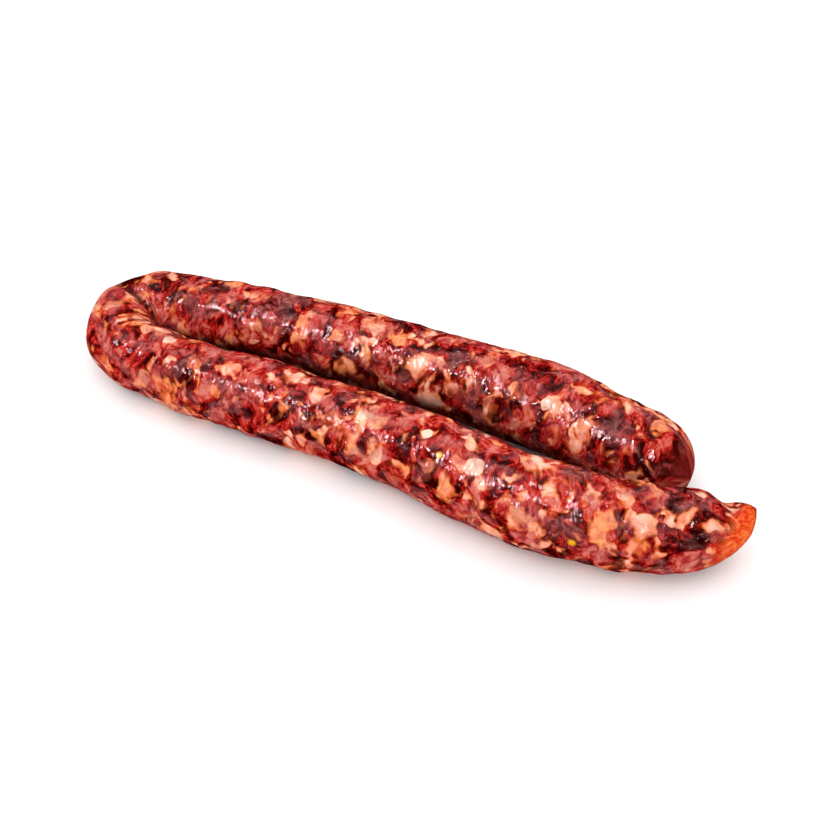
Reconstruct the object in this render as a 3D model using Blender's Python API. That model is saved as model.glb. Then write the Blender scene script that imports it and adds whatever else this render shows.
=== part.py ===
"""A dry-cured sausage, folded over once so that its two runs lie side by side.

The sausage is one length of coarse meat in a natural casing. It dried hanging over a rod by
its middle, so it is thinnest at the fold and fattest near its ends. It lies on a flat surface.

Frame: metres, +Z up, the origin on that surface at the middle of the sausage's box, +X along
the runs from the fold towards the ends, +Y from the front run towards the back run.
"""

import math

import bmesh
import bpy
import numpy as np
from mathutils import Vector, noise

MM = 0.001

# Driving dimensions, in millimetres.
# The line through the middle of the sausage, seen from above, with the diameter there:
# first the front run, from its end to the fold, then the back run, from the fold to its end.
FRONT_RUN = (
    # along X, across Y, diameter
    (144, 4.5, 29),
    (134, -6, 31),
    (117, -15, 33),
    (94, -21, 35),
    (68, -24, 36),
    (42, -23, 35),
    (16, -20, 34),
    (-10, -18, 33),
    (-36, -18, 32),
    (-62, -19, 32),
    (-84, -20, 31),
    (-104, -20, 30),
)
BACK_RUN = (
    (-102, 15, 31),
    (-84, 17, 32),
    (-66, 18, 33),
    (-40, 20, 34),
    (-14, 22, 34),
    (12, 23, 35),
    (38, 22, 37),
    (62, 20.5, 37),
    (84, 17.5, 36),
    (101, 15.5, 34),
    (117, 13.5, 29),
)
# Between them the line turns back on a round bend.
FOLD_CENTRE = (-116.0, -2.0)
FOLD_RADIUS = 16.0
FOLD_DIAMETER = 29.5
FOLD_TURN = (250.0, 100.0)  # directions from the centre at which the bend begins and ends
FOLD_STATIONS = 9
FRONT_CAP = 34.0  # length over which the front end tapers to its tip
FRONT_FULLNESS = 0.62  # exponent of the taper: 0.5 is an ellipse, and more is more pointed
FRONT_LIFT = 5.5  # how far the tip stands above the middle of the sausage
FRONT_LIFT_CURVE = 1.5  # exponent of the rise towards the tip
BACK_CAP = 14.0  # length over which the blunt back end closes
BACK_FULLNESS = 0.44
TIP_RADIUS = 0.8  # of the small flat left at each tip, where the casing is gathered
SINK = 0.8  # how far the underside is flattened by the sausage's weight
LUMPS = ((24.0, 1.1), (11.0, 0.8), (6.0, 0.35))  # size and height of the swellings
LUMPS_SHIFT = 7.0  # moves the pattern of swellings along the sausage
FOLD_HALF_LENGTH = 42.0  # half of the stretch of sausage that takes part in the fold
FOLD_BULGE = 1.6  # how far the inside of the fold swells, until its two sides press together
PRESS_GAP = 0.8  # left between the two sides where they press together
CREASE_AFTER_FOLD = 6.0  # the deep crease lies this far past the fold's outermost point
CREASE_DEPTH = 3.5
CREASE_WIDTHS = (2.5, 8.0)  # how quickly it fades towards the front and the back run
CREASE_REACH = (100.0, 150.0)  # degrees from the inside of the fold at which it fades out

# How finely the skin is divided.
BEVEL_RESOLUTION = 10
RINGS = 160
CROWDING = 0.6  # 0 spaces the rings evenly, and more draws them towards the ends and the fold
LINE_STEPS = 1200  # points along the middle line
WELD = 0.01  # corners of the end caps this close to the tube's are joined to it
NEIGHBOUR = 5.0  # points of the line closer than this don't crowd each other
ALL_CLEAR = 1000.0  # the room where nothing is in the way

MEAT_RED = (0.30, 0.045, 0.04, 1.0)


def clear_scene():
    for obj in list(bpy.data.objects):
        bpy.data.objects.remove(obj, do_unlink=True)


def smooth_through(values, at, places):
    """A smooth curve through values, which belong to the places at, read at new places."""
    slopes = np.gradient(values, at, axis=0)
    i = np.clip(np.searchsorted(at, places, side="right") - 1, 0, len(at) - 2)
    gap = (at[i + 1] - at[i])[:, None]
    t = (places - at[i])[:, None] / gap
    from_start = (1 + 2 * t) * (1 - t) ** 2 * values[i] + t * (1 - t) ** 2 * gap * slopes[i]
    from_end = t**2 * (3 - 2 * t) * values[i + 1] + t**2 * (t - 1) * gap * slopes[i + 1]
    return from_start + from_end


def fold_stations():
    """Stations of the bend, like those of the two runs."""
    turn = np.radians(np.linspace(*FOLD_TURN, FOLD_STATIONS))
    x = FOLD_CENTRE[0] + FOLD_RADIUS * np.cos(turn)
    y = FOLD_CENTRE[1] + FOLD_RADIUS * np.sin(turn)
    return np.stack([x, y, np.full(FOLD_STATIONS, FOLD_DIAMETER)], axis=1)


class MiddleLine:
    """The line through the middle of the sausage, with its diameter and its direction."""

    def __init__(self):
        stations = np.vstack([FRONT_RUN, fold_stations(), BACK_RUN]).astype(float)
        chords = np.hypot(*np.diff(stations[:, :2], axis=0).T)
        at = np.concatenate([[0.0], np.cumsum(chords)])
        fine = smooth_through(stations, at, np.linspace(0.0, at[-1], LINE_STEPS))
        steps = np.hypot(*np.diff(fine[:, :2], axis=0).T)
        self.along = np.concatenate([[0.0], np.cumsum(steps)])
        self.length = self.along[-1]
        self.x, self.y, self.diameter = fine.T
        self.heading = np.unwrap(np.arctan2(np.gradient(self.y), np.gradient(self.x)))
        self.fold = self.along[np.argmin(self.x)]
        self.room = self.inner_room()

    def inner_room(self):
        """How far the sausage can reach to its right before it meets another part of itself.

        This is the radius of the smallest circle that touches the line here from the right
        and passes through any other point of it.
        """
        apart_x = self.x[None, :] - self.x[:, None]
        apart_y = self.y[None, :] - self.y[:, None]
        right_x = np.sin(self.heading)[:, None]
        right_y = -np.cos(self.heading)[:, None]
        on_right = apart_x * right_x + apart_y * right_y
        distance = np.hypot(apart_x, apart_y)
        usable = (on_right > 0) & (distance > NEIGHBOUR)
        circle = distance**2 / (2 * np.where(usable, on_right, 1.0))
        return np.where(usable, circle, ALL_CLEAR).min(axis=1)

    def read(self, name, place):
        return np.interp(place, self.along, getattr(self, name))

    def cap_share(self, place):
        """The share of the full radius at a place: 1 along the body, 0 at the two tips."""
        front = np.clip(place / FRONT_CAP, 0.0, 1.0)
        back = np.clip((self.length - place) / BACK_CAP, 0.0, 1.0)
        front_share = (1 - (1 - front) ** 2) ** FRONT_FULLNESS
        back_share = (1 - (1 - back) ** 2) ** BACK_FULLNESS
        return front_share * back_share


def straight_sausage(line):
    """A mesh of the sausage before it was folded: a plain tube along X, closed at both ends."""
    even = np.linspace(0.0, 1.0, RINGS)
    crowded = even - CROWDING * np.sin(4 * np.pi * even) / (4 * np.pi)
    places = line.length * crowded
    radii = line.read("diameter", places) / 2 * line.cap_share(places)
    curve = bpy.data.curves.new("straight", "CURVE")
    curve.dimensions = "3D"
    curve.bevel_depth = 1.0
    curve.bevel_resolution = BEVEL_RESOLUTION
    curve.use_fill_caps = True
    spline = curve.splines.new("POLY")
    spline.points.add(RINGS - 1)
    for point, place, radius in zip(spline.points, places, radii):
        point.co = (place, 0.0, 0.0, 1.0)
        point.radius = max(radius, TIP_RADIUS)
    guide = bpy.data.objects.new("straight", curve)
    bpy.context.scene.collection.objects.link(guide)
    graph = bpy.context.evaluated_depsgraph_get()
    mesh = bpy.data.meshes.new_from_object(guide.evaluated_get(graph))
    bpy.data.objects.remove(guide, do_unlink=True)
    return mesh


def swelling(place, angle, radius):
    """Height of the skin's lumps, from noise on the sausage as if it were straight."""
    spot = Vector((place + LUMPS_SHIFT, radius * math.cos(angle), radius * math.sin(angle)))
    return sum(height * noise.noise(spot / size) for size, height in LUMPS)


def fold_bulge(place, angle, line):
    """How far the inside of the fold swells. The angle is 0 on the inside and 90 on top."""
    from_fold = (place - line.fold) / FOLD_HALF_LENGTH
    return FOLD_BULGE * max(0.0, 1 - from_fold**2) * max(0.0, math.cos(angle)) ** 2


def crease(place, angle, line):
    """Depth of the crease that runs from the inside of the fold over its top and bottom."""
    past = place - line.fold - CREASE_AFTER_FOLD
    width = CREASE_WIDTHS[0] if past < 0 else CREASE_WIDTHS[1]
    full, none = CREASE_REACH
    fade = np.interp(abs(math.degrees(angle)), (full, none), (1.0, 0.0))
    return CREASE_DEPTH * fade * math.exp(-((past / width) ** 2))


def folded(point, line):
    """Where a point of the straight sausage goes on the finished skin."""
    place = point.x
    angle = math.atan2(point.z, -point.y)
    full = line.read("diameter", place) / 2
    reach = math.hypot(point.y, point.z)
    reach += line.cap_share(place) * swelling(place, angle, full)
    reach += fold_bulge(place, angle, line) - crease(place, angle, line)
    across = min(reach * math.cos(angle), line.read("room", place) - PRESS_GAP / 2)
    lift = FRONT_LIFT * max(0.0, 1 - place / FRONT_CAP) ** FRONT_LIFT_CURVE
    heading = line.read("heading", place)
    x = line.read("x", place) + math.sin(heading) * across
    y = line.read("y", place) - math.cos(heading) * across
    return Vector((x, y, max(reach * math.sin(angle) + full - SINK + lift, 0.0)))


def sausage_mesh(line):
    """The finished skin, in metres."""
    mesh = straight_sausage(line)
    bm = bmesh.new()
    bm.from_mesh(mesh)
    bmesh.ops.remove_doubles(bm, verts=bm.verts, dist=WELD)
    for vert in bm.verts:
        vert.co = folded(vert.co, line)
    low = Vector([min(v.co[k] for v in bm.verts) for k in range(3)])
    high = Vector([max(v.co[k] for v in bm.verts) for k in range(3)])
    middle = Vector(((low.x + high.x) / 2, (low.y + high.y) / 2, 0.0))
    bmesh.ops.translate(bm, verts=bm.verts, vec=-middle)
    bmesh.ops.scale(bm, verts=bm.verts, vec=(MM, MM, MM))
    bm.to_mesh(mesh)
    bm.free()
    mesh.name = "sausage"
    return mesh


def meat_material():
    material = bpy.data.materials.new("cured_meat")
    material.use_nodes = True
    shader = material.node_tree.nodes["Principled BSDF"]
    shader.inputs["Base Color"].default_value = MEAT_RED
    shader.inputs["Roughness"].default_value = 0.3
    shader.inputs["Metallic"].default_value = 0.0
    return material


def main():
    clear_scene()
    group = bpy.data.collections.new("dry_sausage")
    bpy.context.scene.collection.children.link(group)
    line = MiddleLine()
    mesh = sausage_mesh(line)
    mesh.materials.append(meat_material())
    mesh.shade_smooth()
    sausage = bpy.data.objects.new("sausage", mesh)
    group.objects.link(sausage)
    print(f"the middle line is {line.length:.0f} mm long")


main()
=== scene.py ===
# %% [markdown]
# # A folded dry-cured sausage
#
# The sausage is one long piece of coarse red meat and white fat in a thin, glossy natural
# casing. A sausage like this is hung over a rod to dry, which folds it in two, and here it
# lies on a white ground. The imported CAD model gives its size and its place. This script
# gives it its skin, its marbled meat, a floor, the light and the camera.

# %% Load the frame
import math

import bmesh
import bpy
import numpy as np
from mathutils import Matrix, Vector, noise


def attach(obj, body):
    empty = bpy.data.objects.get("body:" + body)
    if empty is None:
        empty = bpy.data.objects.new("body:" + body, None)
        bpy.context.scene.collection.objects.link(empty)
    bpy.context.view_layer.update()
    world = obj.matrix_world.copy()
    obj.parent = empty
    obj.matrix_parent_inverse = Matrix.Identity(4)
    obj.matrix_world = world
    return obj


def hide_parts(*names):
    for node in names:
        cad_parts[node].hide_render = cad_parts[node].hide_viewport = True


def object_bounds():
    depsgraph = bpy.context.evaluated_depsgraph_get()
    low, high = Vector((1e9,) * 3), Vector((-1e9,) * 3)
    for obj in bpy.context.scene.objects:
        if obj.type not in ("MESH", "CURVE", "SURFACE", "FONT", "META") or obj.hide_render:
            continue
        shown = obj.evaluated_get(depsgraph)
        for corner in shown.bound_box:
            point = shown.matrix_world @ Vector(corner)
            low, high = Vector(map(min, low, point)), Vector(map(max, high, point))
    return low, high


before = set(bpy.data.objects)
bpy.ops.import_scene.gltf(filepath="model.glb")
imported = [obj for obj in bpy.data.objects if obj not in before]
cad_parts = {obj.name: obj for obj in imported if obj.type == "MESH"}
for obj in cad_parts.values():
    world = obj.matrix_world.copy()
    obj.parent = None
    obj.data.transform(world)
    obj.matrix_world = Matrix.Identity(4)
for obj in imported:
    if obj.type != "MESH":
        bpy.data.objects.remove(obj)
cad_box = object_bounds()
print("CAD box in metres:", cad_box)

# %% [markdown]
# ## The line through the middle
#
# A sausage is filled straight and folded later. So its skin is described the same way: how
# far along the sausage, and how far round it. A line through its middle, seen from above,
# says where each place along the sausage ended up. The shape could also be sculpted by hand,
# but these numbers and formulas are those of the CAD part, so the fine skin made here fits
# over the coarse solid.

# %% The stations of the middle line
MM = 0.001
FRONT_RUN = (
    # along X, across Y, diameter
    (144, 4.5, 29),
    (134, -6, 31),
    (117, -15, 33),
    (94, -21, 35),
    (68, -24, 36),
    (42, -23, 35),
    (16, -20, 34),
    (-10, -18, 33),
    (-36, -18, 32),
    (-62, -19, 32),
    (-84, -20, 31),
    (-104, -20, 30),
)
BACK_RUN = (
    (-102, 15, 31),
    (-84, 17, 32),
    (-66, 18, 33),
    (-40, 20, 34),
    (-14, 22, 34),
    (12, 23, 35),
    (38, 22, 37),
    (62, 20.5, 37),
    (84, 17.5, 36),
    (101, 15.5, 34),
    (117, 13.5, 29),
)
FOLD_CENTRE = (-116.0, -2.0)
FOLD_RADIUS = 16.0
FOLD_DIAMETER = 29.5
FOLD_TURN = (250.0, 100.0)  # directions from the centre at which the bend begins and ends
FOLD_STATIONS = 9


def fold_stations():
    """Stations of the bend, like those of the two runs."""
    turn = np.radians(np.linspace(*FOLD_TURN, FOLD_STATIONS))
    x = FOLD_CENTRE[0] + FOLD_RADIUS * np.cos(turn)
    y = FOLD_CENTRE[1] + FOLD_RADIUS * np.sin(turn)
    return np.stack([x, y, np.full(FOLD_STATIONS, FOLD_DIAMETER)], axis=1)


stations = np.vstack([FRONT_RUN, fold_stations(), BACK_RUN]).astype(float)
print(len(stations), "stations")

# %% [markdown]
# A smooth curve goes through the stations. One high polynomial through all of them would
# swing about between them. Hermite pieces are used instead, because each one only looks at
# its neighbours: a change at one station doesn't make waves all along the sausage.

# %% The middle line
LINE_STEPS = 1200


def smooth_through(values, at, places):
    """A smooth curve through values, which belong to the places at, read at new places."""
    slopes = np.gradient(values, at, axis=0)
    i = np.clip(np.searchsorted(at, places, side="right") - 1, 0, len(at) - 2)
    gap = (at[i + 1] - at[i])[:, None]
    t = (places - at[i])[:, None] / gap
    from_start = (1 + 2 * t) * (1 - t) ** 2 * values[i] + t * (1 - t) ** 2 * gap * slopes[i]
    from_end = t**2 * (3 - 2 * t) * values[i + 1] + t**2 * (t - 1) * gap * slopes[i + 1]
    return from_start + from_end


chords = np.hypot(*np.diff(stations[:, :2], axis=0).T)
at = np.concatenate([[0.0], np.cumsum(chords)])
line_places = np.linspace(0.0, at[-1], LINE_STEPS)
line_x, line_y, line_diameter = smooth_through(stations, at, line_places).T
along = np.concatenate([[0.0], np.cumsum(np.hypot(np.diff(line_x), np.diff(line_y)))])
heading = np.unwrap(np.arctan2(np.gradient(line_y), np.gradient(line_x)))
length = along[-1]
fold = along[np.argmin(line_x)]
print(f"the sausage is {length:.0f} mm along its middle, and folds at {fold:.0f} mm")

# %% [markdown]
# Where the sausage is bent tightly its two sides press together. A soft-body simulation
# could press them, but it would give another shape than the CAD part has. So the room for
# the skin is worked out instead. On the inside of the bend it is the radius of the smallest
# circle that touches the line there and passes through another point of it.

# %% Room on the inside of the fold
NEIGHBOUR = 5.0
ALL_CLEAR = 1000.0


def inner_room():
    """How far the sausage can reach to its right before it meets another part of itself."""
    apart_x = line_x[None, :] - line_x[:, None]
    apart_y = line_y[None, :] - line_y[:, None]
    on_right = apart_x * np.sin(heading)[:, None] - apart_y * np.cos(heading)[:, None]
    distance = np.hypot(apart_x, apart_y)
    usable = (on_right > 0) & (distance > NEIGHBOUR)
    circle = distance**2 / (2 * np.where(usable, on_right, 1.0))
    return np.where(usable, circle, ALL_CLEAR).min(axis=1)


room = inner_room()
print(f"least room on the inside of the fold: {room.min():.1f} mm")

# %% [markdown]
# ## The skin
#
# The casing follows the meat under it: broad swellings, a rounded blunt end, a pointed end
# with a small nib, a deep crease over the fold, and a flat underside. Each of these could be
# pushed into the mesh with a brush. Rules are used, because each one can be changed by
# itself and gives the same skin on each run. Every point starts on a plain ring of the
# straight sausage and is then moved by these rules, all in millimetres and degrees.

# %% The numbers of the skin's shape
FRONT_CAP = 34.0
FRONT_FULLNESS = 0.62
FRONT_LIFT = 5.5
FRONT_LIFT_CURVE = 1.5
BACK_CAP = 14.0
BACK_FULLNESS = 0.44
TIP_RADIUS = 0.8
SINK = 0.8
LUMPS = ((24.0, 1.1), (11.0, 0.8), (6.0, 0.35))  # size, height
LUMPS_SHIFT = 7.0
PUCKERS = ((7.0, 0.6), (3.6, 0.25))  # size, depth
TIP_RELIEF = ((22.0, 7.0, 55.0, 2.2), (9.5, 5.0, 60.0, -4.2))  # place, width, angle, height
NIB_LENGTH = 4.0
NIB_LIFT = 1.2
FOLD_HALF_LENGTH = 42.0
FOLD_BULGE = 1.6
PRESS_GAP = 0.8
CREASE_AFTER_FOLD = 6.0
CREASE_DEPTH = 3.5
CREASE_WIDTHS = (2.5, 8.0)
CREASE_REACH = (100.0, 150.0)
PINCH_DEPTH = 2.0
PINCH_WIDTH = 1.4
print(f"the crease is {CREASE_DEPTH} mm deep, and the pinch in it {PINCH_DEPTH} mm more")


# %% The rules that the CAD part has too
def cap_share(place):
    """The share of the full radius at a place: 1 along the body, 0 at the two tips."""
    front = np.clip(place / FRONT_CAP, 0.0, 1.0)
    back = np.clip((length - place) / BACK_CAP, 0.0, 1.0)
    return (1 - (1 - front) ** 2) ** FRONT_FULLNESS * (1 - (1 - back) ** 2) ** BACK_FULLNESS


def swelling(place, angle, radius):
    """Height of the skin's lumps, from noise on the sausage as if it were straight."""
    spots = np.stack([place + LUMPS_SHIFT, radius * np.cos(angle), radius * np.sin(angle)], -1)
    flat = spots.reshape(-1, 3)
    total = np.zeros(len(flat))
    for size, height in LUMPS:
        total += height * np.array([noise.noise(Vector(p)) for p in flat / size])
    return total.reshape(place.shape)


def fold_bulge(place, angle):
    """How far the inside of the fold swells towards its other side."""
    from_fold = (place - fold) / FOLD_HALF_LENGTH
    return FOLD_BULGE * np.maximum(0, 1 - from_fold**2) * np.maximum(0, np.cos(angle)) ** 2


def crease_fade(angle):
    """1 from the inside of the bend to just past the top, falling to 0 towards its outside."""
    return np.interp(np.abs(np.degrees(angle)), CREASE_REACH, (1.0, 0.0))


def crease(place, angle):
    """Depth of the crease, which is steep on one side and runs out slowly on the other."""
    past = place - fold - CREASE_AFTER_FOLD
    width = np.where(past < 0, *CREASE_WIDTHS)
    return CREASE_DEPTH * crease_fade(angle) * np.exp(-((past / width) ** 2))


print("caps, swellings, bulge and crease have their rules")

# %% [markdown]
# The next two rules are for this skin alone. They are low relief that needs finer faces than
# the CAD solid has: the puckers of the casing, and the dents at the front tip and the fold.
# A Displace modifier could make the puckers from a texture. Rules are simpler here, since
# they already know each point's place along the straight sausage and round it.

# %% The rules for this skin alone
def puckers(place, angle):
    """Small puckers of the casing, as ridged noise."""
    radius = np.interp(place, along, line_diameter) / 2
    spots = np.stack([place, radius * np.cos(angle), radius * np.sin(angle)], -1)
    flat = spots.reshape(-1, 3)
    total = np.zeros(len(flat))
    for size, height in PUCKERS:
        ridged = np.array([abs(noise.noise(Vector(p))) for p in flat / size])
        total -= height * ridged
    return total.reshape(place.shape)


def details(place, angle):
    """The hump and the dip behind the front tip, and the sharp pinch at the fold."""
    total = np.zeros(place.shape)
    for centre, width, turned, height in TIP_RELIEF:
        facing = np.maximum(0, np.cos(angle - np.radians(turned)))
        total += height * facing * np.exp(-(((place - centre) / width) ** 2))
    past = place - fold - CREASE_AFTER_FOLD
    return total - PINCH_DEPTH * crease_fade(angle) * np.exp(-((past / PINCH_WIDTH) ** 2))


def skin_at(place, angle, relief):
    """The finished skin's points in millimetres, before the box is centred."""
    full = np.interp(place, along, line_diameter) / 2
    share = cap_share(place)
    reach = np.maximum(full * share, TIP_RADIUS) + share * swelling(place, angle, full)
    reach += fold_bulge(place, angle) - crease(place, angle) + share * relief
    across = np.minimum(reach * np.cos(angle), np.interp(place, along, room) - PRESS_GAP / 2)
    lift = FRONT_LIFT * np.maximum(0, 1 - place / FRONT_CAP) ** FRONT_LIFT_CURVE
    lift += NIB_LIFT * np.maximum(0, 1 - place / NIB_LENGTH) ** 2
    turn = np.interp(place, along, heading)
    x = np.interp(place, along, line_x) + np.sin(turn) * across
    y = np.interp(place, along, line_y) - np.cos(turn) * across
    z = np.maximum(reach * np.sin(angle) + full - SINK + lift, 0.0)
    return np.stack([x, y, z], -1)


print("the relief is up to", sum(depth for _, depth in PUCKERS), "mm of puckers, and the dents")

# %% [markdown]
# The skin is a grid of small squares: rings along the sausage, and steps round it. A
# Subdivision Surface on a coarse cage would be round and smooth, with no puckers. Squares of
# about a millimetre let the relief be real geometry, which shows on the outline and in the
# highlights. The rings stand closest at the two ends and in the fold, where the shape
# changes fastest.

# %% The grid of the skin
RINGS = 690
SIDES = 136
CROWDING = 0.35

even = np.linspace(0.0, 1.0, RINGS)
ring_places = length * (even - CROWDING * np.sin(4 * np.pi * even) / (4 * np.pi))
ring_angles = 2 * np.pi * np.arange(SIDES) / SIDES
place, angle = np.meshgrid(ring_places, ring_angles, indexing="ij")
points = skin_at(place, angle, puckers(place, angle) + details(place, angle))
ring_gaps = np.diff(ring_places)
print(f"{RINGS} rings of {SIDES}, {ring_gaps.min():.2f} to {ring_gaps.max():.2f} mm apart")

# %% [markdown]
# The CAD part centres its box on the origin, so the skin is slid by the same amount. What
# still stands out is then pressed back into the CAD box. Scaling the whole skin could do it
# too, but it would move every point for the sake of a few. The skin never makes the part
# larger.

# %% Fit the skin to the CAD box
cad_low, cad_high = (np.array(side) / MM for side in cad_box)
low, high = points.reshape(-1, 3).min(axis=0), points.reshape(-1, 3).max(axis=0)
points -= [(low[0] + high[0]) / 2, (low[1] + high[1]) / 2, 0.0]
print("skin from", points.reshape(-1, 3).min(axis=0).round(2), "mm before pressing")
print("skin to", points.reshape(-1, 3).max(axis=0).round(2), "mm before pressing")
points = np.clip(points, cad_low, cad_high)

# %% [markdown]
# Blender builds a mesh from a list of points and a list of faces, which say what points they
# join. A curve with a bevel makes a tube with less work, but it gives no say over single
# points. Each square joins two neighbours on one ring to the two beside them on the next,
# and one face closes each tip.

# %% Make the mesh
def grid_faces(rings, sides):
    """Squares between the rings, and one face at each end."""
    faces = []
    for r in range(rings - 1):
        for s in range(sides):
            t = (s + 1) % sides
            faces.append((r * sides + s, (r + 1) * sides + s, (r + 1) * sides + t, r * sides + t))
    faces.append(tuple(range(sides)))
    faces.append(tuple(reversed(range((rings - 1) * sides, rings * sides))))
    return faces


mesh = bpy.data.meshes.new("sausage_skin")
mesh.from_pydata((points.reshape(-1, 3) * MM).tolist(), [], grid_faces(RINGS, SIDES))
mesh.update()
mesh.shade_smooth()
skin = bpy.data.objects.new("sausage_skin", mesh)
bpy.context.scene.collection.objects.link(skin)
check = bmesh.new()
check.from_mesh(mesh)
volume = check.calc_volume(signed=True)
check.free()
print(f"skin volume {volume * 1e6:.0f} cubic centimetres")

# %% [markdown]
# ## Coordinates for the meat
#
# The meat was mixed and filled before the sausage was folded, so its pattern belongs to the
# straight sausage. A UV map could hold that, but it has a seam, and it is flat. Instead each
# point keeps its place in the straight sausage as a vector, in millimetres: along, and two
# across. A solid texture read at these vectors has no seam and isn't squeezed in the fold.

# %% Store the straight coordinates
full_radius = np.interp(place, along, line_diameter) / 2
straight = np.stack([place, full_radius * np.cos(angle), full_radius * np.sin(angle)], -1)
attribute = mesh.attributes.new("straight", "FLOAT_VECTOR", "POINT")
attribute.data.foreach_set("vector", straight.reshape(-1, 3).astype(np.float32).ravel())
print("straight coordinates from", straight.reshape(-1, 3).min(axis=0).round(1))
print("straight coordinates to", straight.reshape(-1, 3).max(axis=0).round(1))

# %% [markdown]
# ## Shader maths in Python
#
# A material is a network of small nodes. It could be drawn by hand in the Shader Editor, or
# written out node by node, but both hide the idea. So a small class wraps a socket and lets
# ordinary arithmetic add the Math nodes.

# %% A socket that can be calculated with
class Wire:
    """One output socket of a node tree. Arithmetic on it adds Math nodes."""

    def __init__(self, tree, socket):
        self.tree = tree
        self.socket = socket

    def node(self, kind, settings=None, inputs=None, output=0):
        """Adds a node of any kind: its settings first, then its sockets' values or links."""
        return add_node(self.tree, kind, settings, inputs, output)

    def math(self, operation, *others):
        """Adds a Math node that has this value in its first socket."""
        sockets = {i: value for i, value in enumerate((self, *others))}
        return self.node("ShaderNodeMath", {"operation": operation}, sockets)

    def __add__(self, other):
        return self.math("ADD", other)

    __radd__ = __add__

    def __mul__(self, other):
        return self.math("MULTIPLY", other)

    __rmul__ = __mul__

    def __sub__(self, other):
        return self.math("SUBTRACT", other)

    def __rsub__(self, other):
        return self.node("ShaderNodeMath", {"operation": "SUBTRACT"}, {0: other, 1: self})

    def __abs__(self):
        return self.math("ABSOLUTE")

    def smooth(self, low, high):
        """0 below low, 1 above high, and a smooth step between."""
        settings = {"interpolation_type": "SMOOTHSTEP"}
        inputs = {"Value": self, "From Min": low, "From Max": high}
        return self.node("ShaderNodeMapRange", settings, inputs)

    def mix(self, low, high):
        """The colours low and high, mixed by this value."""
        settings = {"data_type": "RGBA"}
        return self.node("ShaderNodeMix", settings, {0: self, 6: low, 7: high}, output=2)


def add_node(tree, kind, settings=None, inputs=None, output=0):
    """Adds a node to a tree, and returns one of its outputs as a Wire."""
    made = tree.nodes.new(kind)
    for name, value in (settings or {}).items():
        if name == "stops":
            set_stops(made.color_ramp, value)
        else:
            setattr(made, name, value)
    for name, value in (inputs or {}).items():
        if isinstance(value, Wire):
            tree.links.new(value.socket, made.inputs[name])
        else:
            made.inputs[name].default_value = value
    return Wire(tree, made.outputs[output])


def set_stops(ramp, stops):
    """Fills a colour ramp with pairs of position and linear colour."""
    while len(ramp.elements) < len(stops):
        ramp.elements.new(1.0)
    for element, (position, colour) in zip(ramp.elements, stops):
        element.position = position
        element.color = (*colour, 1.0)


print("sockets can be added, subtracted, multiplied, stepped and mixed")

# %% [markdown]
# ## The cured meat
#
# Seen through the casing, the meat is a close pack of chunks a few millimetres across: lean
# from bright red to nearly black, white fat, and fat stained orange by the spice. Thousands
# of modelled chunks could show this, but they lie under the casing and hardly stand up.
# Voronoi cells are such a pack too. Their coordinates are first pushed about by noise, which
# bends the straight walls of the cells, and a smooth blend between cells stains the edge of
# each chunk with its neighbour's colour.

# %% Start the material
meat = bpy.data.materials.new("cured_meat")
meat.use_nodes = True
tree = meat.node_tree
shader = tree.nodes["Principled BSDF"]
straight_at = add_node(tree, "ShaderNodeAttribute", {"attribute_name": "straight"}, output=1)
print("the material reads the straight coordinates")


# %% Helpers for textures
def vector_math(operation, *values):
    """Vector Math on wires or plain triples, for the vectors that a Math node can't take."""
    inputs = dict(enumerate(values))
    if operation == "SCALE":
        inputs = {0: values[0], 3: values[1]}
    return add_node(tree, "ShaderNodeVectorMath", {"operation": operation}, inputs)


def noise_at(spot, size, detail=2.0, roughness=0.5, distortion=0.0, output=0):
    """Noise whose features are about size millimetres across."""
    inputs = {"Vector": spot, "Scale": 1 / size, "Detail": detail}
    inputs.update({"Roughness": roughness, "Distortion": distortion})
    return add_node(tree, "ShaderNodeTexNoise", None, inputs, output)


def pushed(spot, size, push):
    """The spot moved about by noise, by up to about push millimetres."""
    colour = noise_at(spot, size, detail=0.5, output=1)
    centred = vector_math("SUBTRACT", colour, (0.5, 0.5, 0.5))
    return vector_math("ADD", spot, vector_math("SCALE", centred, 2 * push))


def cells_at(spot, size, smoothness):
    """Cells about size millimetres across: the distance from their middles, and a random colour."""
    settings = {"feature": "SMOOTH_F1"}
    inputs = {"Vector": spot, "Scale": 1 / size, "Smoothness": smoothness}
    distance = add_node(tree, "ShaderNodeTexVoronoi", settings, inputs)
    return distance, Wire(tree, distance.socket.node.outputs[1])


def parts_of(colour):
    """The red, green and blue of a colour, as three values."""
    first = add_node(tree, "ShaderNodeSeparateColor", None, {0: colour})
    return [Wire(tree, socket) for socket in first.socket.node.outputs]


def swing(value, amount):
    """How far a value between 0 and 1 is from its middle, times an amount."""
    return (value - 0.5) * amount


print("noise and cells take their sizes in millimetres")

# %% Bend the meat's coordinates
ROUND_SQUEEZE = (1.0, 0.8, 0.8)
BENDS = ((9.0, 3.4), (3.5, 1.5))  # size of the noise, push

along_at, inward, upward = parts_of(straight_at)
bent = vector_math("MULTIPLY", straight_at, ROUND_SQUEEZE)
for size, push in BENDS:
    bent = pushed(bent, size, push)
print("the meat's coordinates are bent by noise of", len(BENDS), "sizes")

# %% [markdown]
# A few pieces stand out on this sausage: clean white fat, fat stained orange by the paprika,
# and dark dry patches. A painted image could place them, but it would be fixed to one mesh.
# Here each is placed as a soft ball round a spot in the straight sausage. Inside the ball
# the pack of cells is tipped towards fat, paprika or dark lean, so the piece keeps the
# ragged outline of its cells. The cleanest fat is also coloured outright.

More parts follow.
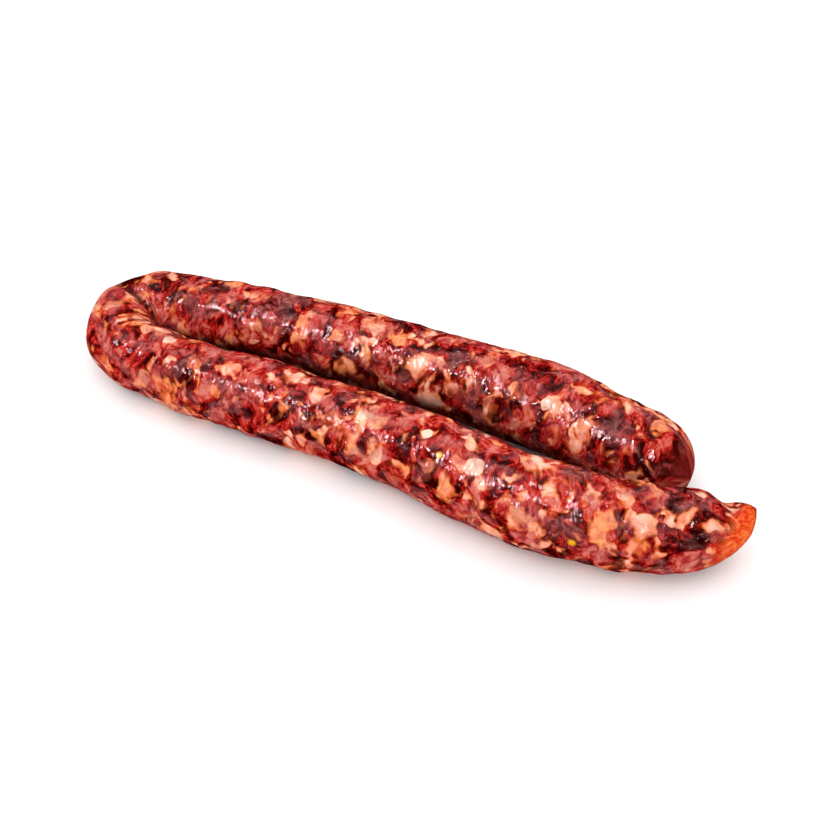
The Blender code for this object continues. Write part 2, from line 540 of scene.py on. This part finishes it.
# %% Where the pieces are
# Each is its place along the sausage, its angle round it from the inside of the fold over
# the top, and its radius.
FAT_PIECES = (
    (109, 111, 4.2), (208, 119, 5.0), (160, 106, 4.0), (252, 77, 3.2), (259, 130, 3.2),
    (447, 5, 4.6), (492, 56, 4.0), (337, 69, 5.2), (380, 69, 4.0), (423, 82, 4.6),
    (285, 48, 3.8), (59, 132, 5.2), (535, 93, 5.0), (132, 96, 3.4), (150, 140, 3.6),
    (548, 132, 3.6), (275, 60, 3.0),
)
PAPRIKA_PIECES = (
    (337, 69, 8.0), (380, 69, 6.0), (423, 82, 7.0), (285, 48, 7.0), (59, 132, 7.0),
    (535, 93, 7.0), (230, 150, 8.0), (300, 120, 9.0), (548, 132, 5.0), (275, 60, 4.0),
)
DARK_PIECES = (
    (449, 79, 6.5), (521, 66, 6.5), (377, 103, 7.0), (268, 93, 5.0), (140, 125, 6.0),
    (20, 95, 8.0), (25, 140, 6.0), (16, 125, 6.0), (547, 80, 6.0), (552, 95, 6.0),
    (300, 160, 7.0), (542, 45, 8.0), (551, 60, 6.0),
)
WHITE_PIECES = (
    (109, 111, 4.6), (492, 56, 2.8), (132, 96, 2.6), (252, 77, 2.6), (160, 106, 2.6),
)
print(len(FAT_PIECES), "pieces of fat,", len(WHITE_PIECES), "of them white")
print(len(DARK_PIECES), "dark patches and", len(PAPRIKA_PIECES), "stains of paprika")

# %% Place the pieces
BALL_EDGE = (0.4, 1.2)  # shares of the radius between which a ball fades out
PIECE_WOBBLE = (3.0, 1.6)
WHITE_WOBBLE = (2.5, 0.7)
WHITE_EDGE = (0.25, 0.65)


def spot_at(spot_place, spot_angle):
    """A point of the straight sausage's skin."""
    reach = float(np.interp(spot_place, along, line_diameter)) / 2
    turned = math.radians(spot_angle)
    return (spot_place, reach * math.cos(turned), reach * math.sin(turned))


def near(spots, where):
    """1 inside the balls round these spots, falling to 0 at their edges."""
    total = 0
    for spot_place, spot_angle, radius in spots:
        settings = {"operation": "DISTANCE"}
        inputs = {0: where, 1: spot_at(spot_place, spot_angle)}
        distance = add_node(tree, "ShaderNodeVectorMath", settings, inputs, output="Value")
        total = total + (1 - distance.smooth(*(share * radius for share in BALL_EDGE)))
    return total


wobbly = pushed(straight_at, *PIECE_WOBBLE)
fat_here, paprika_here, dark_here = (
    near(spots, wobbly) for spots in (FAT_PIECES, PAPRIKA_PIECES, DARK_PIECES)
)
white_here = near(WHITE_PIECES, pushed(straight_at, *WHITE_WOBBLE)).smooth(*WHITE_EDGE)
print("the pieces are placed on the straight sausage")

# %% [markdown]
# The meat was minced coarsely, but never to one size: large chunks lie among small crumbs.
# One pack of cells would look like tiles, so a coarse and a fine one are blended. Each cell
# has a random colour, whose three parts are three random numbers that stay the same all over
# the cell. One says how fatty it is, one how light it is, and one how far it stands up.

# %% Chunks and crumbs
CHUNK_SIZE = 7.4
CRUMB_SIZE = 3.5
CELL_BLEND = 0.8
CRUMB_KIND_SHARE = 0.7
CRUMB_TONE_SHARE = 0.5
CRUMBLED_EDGE = (0.42, 0.58)

chunk_reach, chunk_colour = cells_at(bent, CHUNK_SIZE, CELL_BLEND)
_, crumb_colour = cells_at(bent, CRUMB_SIZE, CELL_BLEND)
chunk_kind, chunk_tone, chunk_rise = parts_of(chunk_colour)
crumb_kind, crumb_tone, _ = parts_of(crumb_colour)
crumbled = noise_at(straight_at, size=8.0, detail=1.0).smooth(*CRUMBLED_EDGE)
kind = chunk_kind + (crumb_kind - chunk_kind) * crumbled * CRUMB_KIND_SHARE
tone = chunk_tone + (crumb_tone - chunk_tone) * CRUMB_TONE_SHARE
print("two packs of cells make the chunks and the crumbs")

# %% Fatty and lean, light and dark
KIND_CONTRAST = 1.5
BLOTCH_SWING = 0.6
RICHNESS_SWING = 0.4
FAT_PULL = 0.42
TONE_CONTRAST = 1.7
DARK_PULL = 0.35
BETWEEN_KIND_PULL = 0.10
BETWEEN_TONE_PULL = 0.14
BETWEEN_EDGE = (0.30, 0.70)

blotches = noise_at(bent, size=2.6, detail=1.0, distortion=0.4)
richness = noise_at(straight_at, size=18.0, detail=1.0)
between = chunk_reach.smooth(*BETWEEN_EDGE)
kind = swing(kind, KIND_CONTRAST) + 0.5
kind = kind + swing(blotches, BLOTCH_SWING) + swing(richness, RICHNESS_SWING)
kind = kind + fat_here * FAT_PULL - dark_here * DARK_PULL - between * BETWEEN_KIND_PULL
tone = swing(tone, TONE_CONTRAST) + 0.5
tone = tone - dark_here * DARK_PULL - between * BETWEEN_TONE_PULL
print("the meat is leaner and darker between its chunks")

# %% [markdown]
# Lean and fat are coloured apart. Lean runs from dried, almost black red to a bright red and
# a dusky rose. Fat runs from orange, where the paprika stained it, to a pinkish white. One
# ramp for both could do it, but then every edge of the fat would pass through each colour
# between. Two fine noises add the grain of the fibres.

# %% The lean
LEAN_STOPS = (
    (0.16, (0.024, 0.0005, 0.0005)),
    (0.30, (0.095, 0.0020, 0.0020)),
    (0.43, (0.300, 0.006, 0.005)),
    (0.56, (0.500, 0.024, 0.015)),
    (0.70, (0.590, 0.095, 0.070)),
    (0.86, (0.640, 0.190, 0.150)),
)
LEAN_TONE = 0.60
LEAN_GRAIN = 0.85
LEAN_LIFT = 0.21
STRAND_EDGE = (0.35, 0.65)

fibres = noise_at(bent, size=1.4, roughness=0.6, distortion=0.4)
strands = noise_at(bent, size=2.4, roughness=0.6, distortion=0.5)
in_strands = strands.smooth(*STRAND_EDGE)
lean_value = tone * LEAN_TONE + (fibres + strands - 1) * LEAN_GRAIN + LEAN_LIFT
lean = tone.node("ShaderNodeValToRGB", {"stops": LEAN_STOPS}, {0: lean_value})
print(len(LEAN_STOPS), "colours of lean")

# %% The fat
FAT_STOPS = (
    (0.25, (0.600, 0.085, 0.020)),
    (0.42, (0.780, 0.180, 0.055)),
    (0.56, (0.860, 0.280, 0.165)),
    (0.72, (0.910, 0.390, 0.250)),
    (0.90, (0.940, 0.530, 0.390)),
)
FAT_MIDDLE = 0.55
FAT_CONTRAST = 1.2
FAT_GRAIN = 0.9
FAT_CRUMBS = 0.5
FAT_LIFT = 0.12

fat_value = (kind - FAT_MIDDLE) * FAT_CONTRAST + swing(strands, FAT_GRAIN)
fat_value = fat_value + crumb_tone * FAT_CRUMBS + FAT_LIFT
fat = tone.node("ShaderNodeValToRGB", {"stops": FAT_STOPS}, {0: fat_value})
print(len(FAT_STOPS), "colours of fat")

# %% The paprika and the white fat
PAPRIKA_PULL = 0.3
FOLD_PAPRIKA = 0.10
FOLD_PAPRIKA_REACH = (30.0, 90.0)
PAPRIKA_GRAIN = 0.3
PAPRIKA_EDGE = (0.48, 0.68)
PAPRIKA_STRENGTH = 0.75
DEEP_STAIN = (0.700, 0.100, 0.020, 1.0)
PALE_STAIN = (0.880, 0.330, 0.090, 1.0)
WHITE_FAT = (0.940, 0.640, 0.500, 1.0)
WHITE_PULL = 0.6
FAT_EDGE = (0.42, 0.80)

at_fold = 1 - abs(along_at - fold).smooth(*FOLD_PAPRIKA_REACH)
paprika = noise_at(straight_at, size=9.0, detail=1.0, distortion=0.5)
paprika = paprika + paprika_here * PAPRIKA_PULL
paprika = paprika + at_fold * FOLD_PAPRIKA + swing(strands, PAPRIKA_GRAIN)
paprika = paprika.smooth(*PAPRIKA_EDGE) * PAPRIKA_STRENGTH
fat = paprika.mix(fat, in_strands.mix(DEEP_STAIN, PALE_STAIN))
fat = white_here.mix(fat, WHITE_FAT)
fat_share = (kind + white_here * WHITE_PULL).smooth(*FAT_EDGE)
meat_colour = fat_share.mix(lean, fat)
print("the fat is stained, most of all near the fold, and mixed with the lean")

# %% [markdown]
# The casing isn't quite clear. In patches it clouds what is under it with a dusky rose, and
# the same patches paint in the casing's broad purple-grey sheen. A second, half-clear skin
# over the first could make the cloud, but it would be one more shape to fit into the same box.
# So cloud and painted sheen are mixed into the colour, in patches drawn out along the sausage.

# %% The cloudy casing and painted sheen
# The cloud colours are partly the casing's own cloudiness and partly a painted sheen.
CLOUD_SHEEN_STRETCH = (0.45, 1.0, 1.0)
CLOUD_SHEEN_STRENGTH = 0.50
CLOUD_SHEEN_EDGE = (0.44, 0.66)
DARK_CLOUD_SHEEN = (0.270, 0.040, 0.046, 1.0)
PALE_CLOUD_SHEEN = (0.560, 0.190, 0.175, 1.0)

drawn_out = vector_math("MULTIPLY", bent, CLOUD_SHEEN_STRETCH)
cloud_and_sheen = noise_at(drawn_out, size=5.0).smooth(*CLOUD_SHEEN_EDGE) * CLOUD_SHEEN_STRENGTH
# Cloud and painted sheen laid over the meat's colour.
meat_colour = cloud_and_sheen.mix(meat_colour, in_strands.mix(DARK_CLOUD_SHEEN, PALE_CLOUD_SHEEN))
print(f"the casing hides up to {CLOUD_SHEEN_STRENGTH:.0%} of the meat's colour")

# %% [markdown]
# Two yellow seeds of the seasoning lie right under the casing. Modelled seeds would be
# hidden by the skin, so they are round spots of colour, with no wobble.

# %% The seeds
SEEDS = ((123, 116, 1.5), (68, 164, 1.6))
SEED_YELLOW = (0.820, 0.400, 0.015, 1.0)

meat_colour = near(SEEDS, straight_at).mix(meat_colour, SEED_YELLOW)
print(len(SEEDS), "yellow seeds")

# %% [markdown]
# The two ends hold little meat. The front tip is a translucent orange-red, and dark at its
# very point, and the back end has dried to a dark red. The bottom of the crease over the fold
# gets painted shade. The sides that face each other between the runs get painted shade too,
# most of all just behind the fold, since the rendered shadow there wasn't as deep as in the
# photograph. Each of these is a mask along or round the sausage.

# %% The two ends
ROUGHENING = 14
TIP_RED = (0.680, 0.024, 0.008, 1.0)
TIP_ORANGE = (0.900, 0.170, 0.025, 1.0)
TIP_SLANT = 0.8
TIP_STRENGTH = 0.9
TIP_EDGE = (3.0, 13.0)  # places along the sausage
NIB_COLOUR = (0.280, 0.008, 0.006, 1.0)
NIB_EDGE = (1.0, 3.0)
BACK_END_EDGE = (length - 12, length - 2)
BACK_END_COLOUR = (0.230, 0.014, 0.010, 1.0)
BACK_END_STRENGTH = 0.6

along_rough = along_at + swing(strands, ROUGHENING)
tip = 1 - (along_rough + inward * TIP_SLANT).smooth(*TIP_EDGE)
meat_colour = (tip * TIP_STRENGTH).mix(meat_colour, in_strands.mix(TIP_RED, TIP_ORANGE))
nib = 1 - along_at.smooth(*NIB_EDGE)
meat_colour = (nib * TIP_STRENGTH).mix(meat_colour, NIB_COLOUR)
back_end = along_rough.smooth(*BACK_END_EDGE)
meat_colour = (back_end * BACK_END_STRENGTH).mix(meat_colour, BACK_END_COLOUR)
print("the front tip is orange-red and the back end dark red")

# %% Painted shade in the crease and between the runs
# Painted shade: the next colour darkens the bottom of the crease over the fold.
CREASE_SHADE_COLOUR = (0.045, 0.004, 0.003, 1.0)
CREASE_SHADE_STRENGTH = 0.8
CREASE_SHADE_EDGE = (0.4, 2.2)  # distances from the crease, along the sausage
CREASE_SHADE_INWARD = (-8.0, 0.0)
CREASE_SHADE_INWARD_SHIFT = 4
CREASE_SHADE_UPWARD = (0.0, 4.0)
# Painted shade: the next colour darkens the sides that face each other between the runs.
GAP_SHADE_COLOUR = (0.045, 0.003, 0.002, 1.0)
GAP_SHADE_STRENGTH = 0.85
GAP_SHADE_MIDDLE = 350.0  # place along the sausage where the painted shade between the runs reaches furthest up
GAP_SHADE_REACH = (50.0, 130.0)
GAP_SHADE_WIDENING = 4.5
GAP_SHADE_UPWARD = 0.8
GAP_SHADE_EDGE = (16.0, 22.0)

# Painted shade in the bottom of the crease.
pinch = 1 - abs(along_at - (fold + CREASE_AFTER_FOLD)).smooth(*CREASE_SHADE_EDGE)
pinch = pinch * (inward + CREASE_SHADE_INWARD_SHIFT).smooth(*CREASE_SHADE_INWARD)
pinch = pinch * upward.smooth(*CREASE_SHADE_UPWARD)
meat_colour = (pinch * CREASE_SHADE_STRENGTH).mix(meat_colour, CREASE_SHADE_COLOUR)
# Painted shade between the runs, deepest just behind the fold.
near_fold = 1 - abs(along_at - GAP_SHADE_MIDDLE).smooth(*GAP_SHADE_REACH)
gap_shade = inward - upward * GAP_SHADE_UPWARD + near_fold * GAP_SHADE_WIDENING
gap_shade = gap_shade.smooth(*GAP_SHADE_EDGE)
meat_colour = (gap_shade * GAP_SHADE_STRENGTH).mix(meat_colour, GAP_SHADE_COLOUR)
print("the crease and the sides between the runs are dark")

# %% [markdown]
# The casing dried down onto the meat, so it rises over each chunk in small domes and swells,
# and in places it is drawn into fine wrinkles. The mesh could carry these too with squares a
# few times smaller, but it would be very heavy. Each is less than a millimetre high and
# hardly shows on the outline, so they are a Bump node, which only tilts the light.

# %% Relief of the casing
SWELL_SQUEEZE = (1.0, 0.6, 0.6)
DOME_SQUEEZE = (1.0, 0.5, 0.5)
DOME_WOBBLE = (2.5, 0.9)
DOME_SIZE = 2.9
DOME_BLEND = 0.6
FOLDED_EDGE = (0.0, 0.05)
WRINKLED_EDGE = (0.36, 0.56)
BACK_WRINKLES = 0.3
CHUNK_RISE = 0.12
FAT_RISE = 0.10
SWELL_RISE = 0.45
DOME_RISE = 0.7
WRINKLE_RISE = 0.28

swell_at = vector_math("MULTIPLY", straight_at, SWELL_SQUEEZE)
dome_at = pushed(vector_math("MULTIPLY", straight_at, DOME_SQUEEZE), *DOME_WOBBLE)
swells = noise_at(swell_at, size=4.0, detail=0.0, distortion=1.0)
dome_reach, _ = cells_at(dome_at, DOME_SIZE, DOME_BLEND)
folded = abs(noise_at(dome_at, size=2.6, detail=1.0) - 0.5)
wrinkled = noise_at(straight_at, size=14.0, detail=1.0) + back_end * BACK_WRINKLES
wrinkles = (1 - folded.smooth(*FOLDED_EDGE)) * wrinkled.smooth(*WRINKLED_EDGE)
height = chunk_rise * CHUNK_RISE + fat_share * FAT_RISE + swells * SWELL_RISE
height = height - dome_reach * dome_reach * DOME_RISE + wrinkles * WRINKLE_RISE
bump = height.node("ShaderNodeBump", None, {"Height": height, "Strength": 1.0, "Distance": MM})
tree.links.new(meat_colour.socket, shader.inputs["Base Color"])
tree.links.new(bump.socket, shader.inputs["Normal"])
print("the relief is in millimetres, with a Bump distance of", MM, "m")

# %% [markdown]
# The casing is smooth and a little greasy, so its glints are small and sharp. A Coat layer
# could give them, but its even reflection would lie over the dark meat like haze. So the
# shader's own reflection is used, turned down and tinted, and strong lights make up for it.
# Subsurface scattering lets light wander in the meat, which softens the edges of the fat.

# %% Shine of the casing
LEAST_ROUGHNESS = 0.05
MORE_ROUGHNESS = 0.08
GLOSS_EDGE = (0.3, 0.7)

gloss = noise_at(straight_at, size=6.0).smooth(*GLOSS_EDGE) * MORE_ROUGHNESS
gloss = gloss + LEAST_ROUGHNESS
tree.links.new(gloss.socket, shader.inputs["Roughness"])
shader.inputs["IOR"].default_value = 1.45
shader.inputs["Specular IOR Level"].default_value = 0.12
shader.inputs["Specular Tint"].default_value = (1.0, 0.82, 0.84, 1.0)
shader.inputs["Subsurface Weight"].default_value = 0.85
shader.inputs["Subsurface Radius"].default_value = (1.0, 0.35, 0.20)
shader.inputs["Subsurface Scale"].default_value = 1.2 * MM
skin.data.materials.append(meat)
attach(skin, "root")
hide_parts("sausage")
print("the casing is glossy over the meat")

# %% [markdown]
# ## Floor, light and camera
#
# The photograph shows the sausage on a seamless white ground. A curved backdrop could give
# that from every side. A flat plane under a white world is simpler, and gives it at the
# photograph's angle, but from low down its far edge still shows as a faint grey band. The
# casing doesn't reflect the floor, which would lay a grey rim along each run.

# %% The floor
FLOOR_SIDE = 6.0
FLOOR_WHITE = (0.93, 0.93, 0.93, 1)

bpy.ops.mesh.primitive_plane_add(size=FLOOR_SIDE, location=(0.0, 0.0, 0.0))
floor = bpy.context.object
floor.name = "floor"
paper = bpy.data.materials.new("white_table")
paper.use_nodes = True
paper.node_tree.nodes["Principled BSDF"].inputs["Base Color"].default_value = FLOOR_WHITE
paper.node_tree.nodes["Principled BSDF"].inputs["Roughness"].default_value = 0.9
floor.data.materials.append(paper)
floor.visible_glossy = False
print(f"the floor is {FLOOR_SIDE:.0f} m across")

# %% [markdown]
# The light on the meat is soft, and yet the glints are small and sharp. One large lamp would
# give a soft light, but its reflection would lie over the meat like haze. So the work is
# shared out. The white world and one large light shine on the meat and aren't reflected by
# it. Four other lights are only seen as reflections: a broad one above, and a long one and two
# small ones on the camera's side, all three a little pink.

# %% The lights
WORLD_STRENGTH = 1.05
ORIGIN = (0.0, 0.0, 0.0)
PINK = (1.0, 0.86, 0.88)
SPARK_PLACES = (-0.45, -0.1)

scene = bpy.context.scene
scene.view_settings.view_transform = "Standard"
world = bpy.data.worlds.new("white_room")
world.use_nodes = True
world.node_tree.nodes["Background"].inputs["Color"].default_value = (1.0, 1.0, 1.0, 1.0)
world.node_tree.nodes["Background"].inputs["Strength"].default_value = WORLD_STRENGTH
world.cycles_visibility.glossy = False
scene.world = world


def softbox(name, place, size, power, colour=(1.0, 1.0, 1.0)):
    """A rectangular area light at a place, aimed at the origin. Sizes are in metres."""
    light = bpy.data.lights.new(name, "AREA")
    light.shape = "RECTANGLE"
    light.size, light.size_y = size
    light.energy = power
    light.color = colour
    box = bpy.data.objects.new(name, light)
    box.location = place
    box.rotation_euler = (Vector(ORIGIN) - Vector(place)).to_track_quat("-Z", "Y").to_euler()
    scene.collection.objects.link(box)
    return box


top_light = softbox("top_light", (-0.15, 0.08, 1.1), (2.4, 1.6), 9.0)
top_light.visible_glossy = False
shine = [
    softbox("ceiling", (-0.15, 0.35, 1.1), (1.2, 0.8), 5.0),
    softbox("panel", (-0.28, -0.42, 0.9), (0.80, 0.24), 33.0, PINK),
]
for x in SPARK_PLACES:
    shine.append(softbox("spark", (x, -0.41, 0.88), (0.12, 0.08), 9.0, PINK))
for light in shine:
    light.visible_diffuse = False
print("one light for the meat and", len(shine), "for its shine")

# %% [markdown]
# The camera looks from the photograph's angle. It could be placed by eye, but its place, aim
# and lens were found by laying the sausage's outline over that in the photograph, since the
# outline changes with each of them. Everything is in focus.

# %% The camera
CAMERA_PLACE = Vector((0.1476, -0.3113, 0.4189))
CAMERA_AIM = Vector((0.00374, 0.00948, 0.0))
SENSOR_WIDTH = 36.0
FOCAL_LENGTH = 55.71

camera_data = bpy.data.cameras.new("camera")
camera_data.sensor_width = SENSOR_WIDTH
camera_data.lens = FOCAL_LENGTH
camera = bpy.data.objects.new("camera", camera_data)
camera.location = CAMERA_PLACE
camera.rotation_euler = (CAMERA_AIM - CAMERA_PLACE).to_track_quat("-Z", "Y").to_euler()
scene.collection.objects.link(camera)
scene.camera = camera
print(f"the camera is {(CAMERA_AIM - CAMERA_PLACE).length:.2f} m from where it aims")
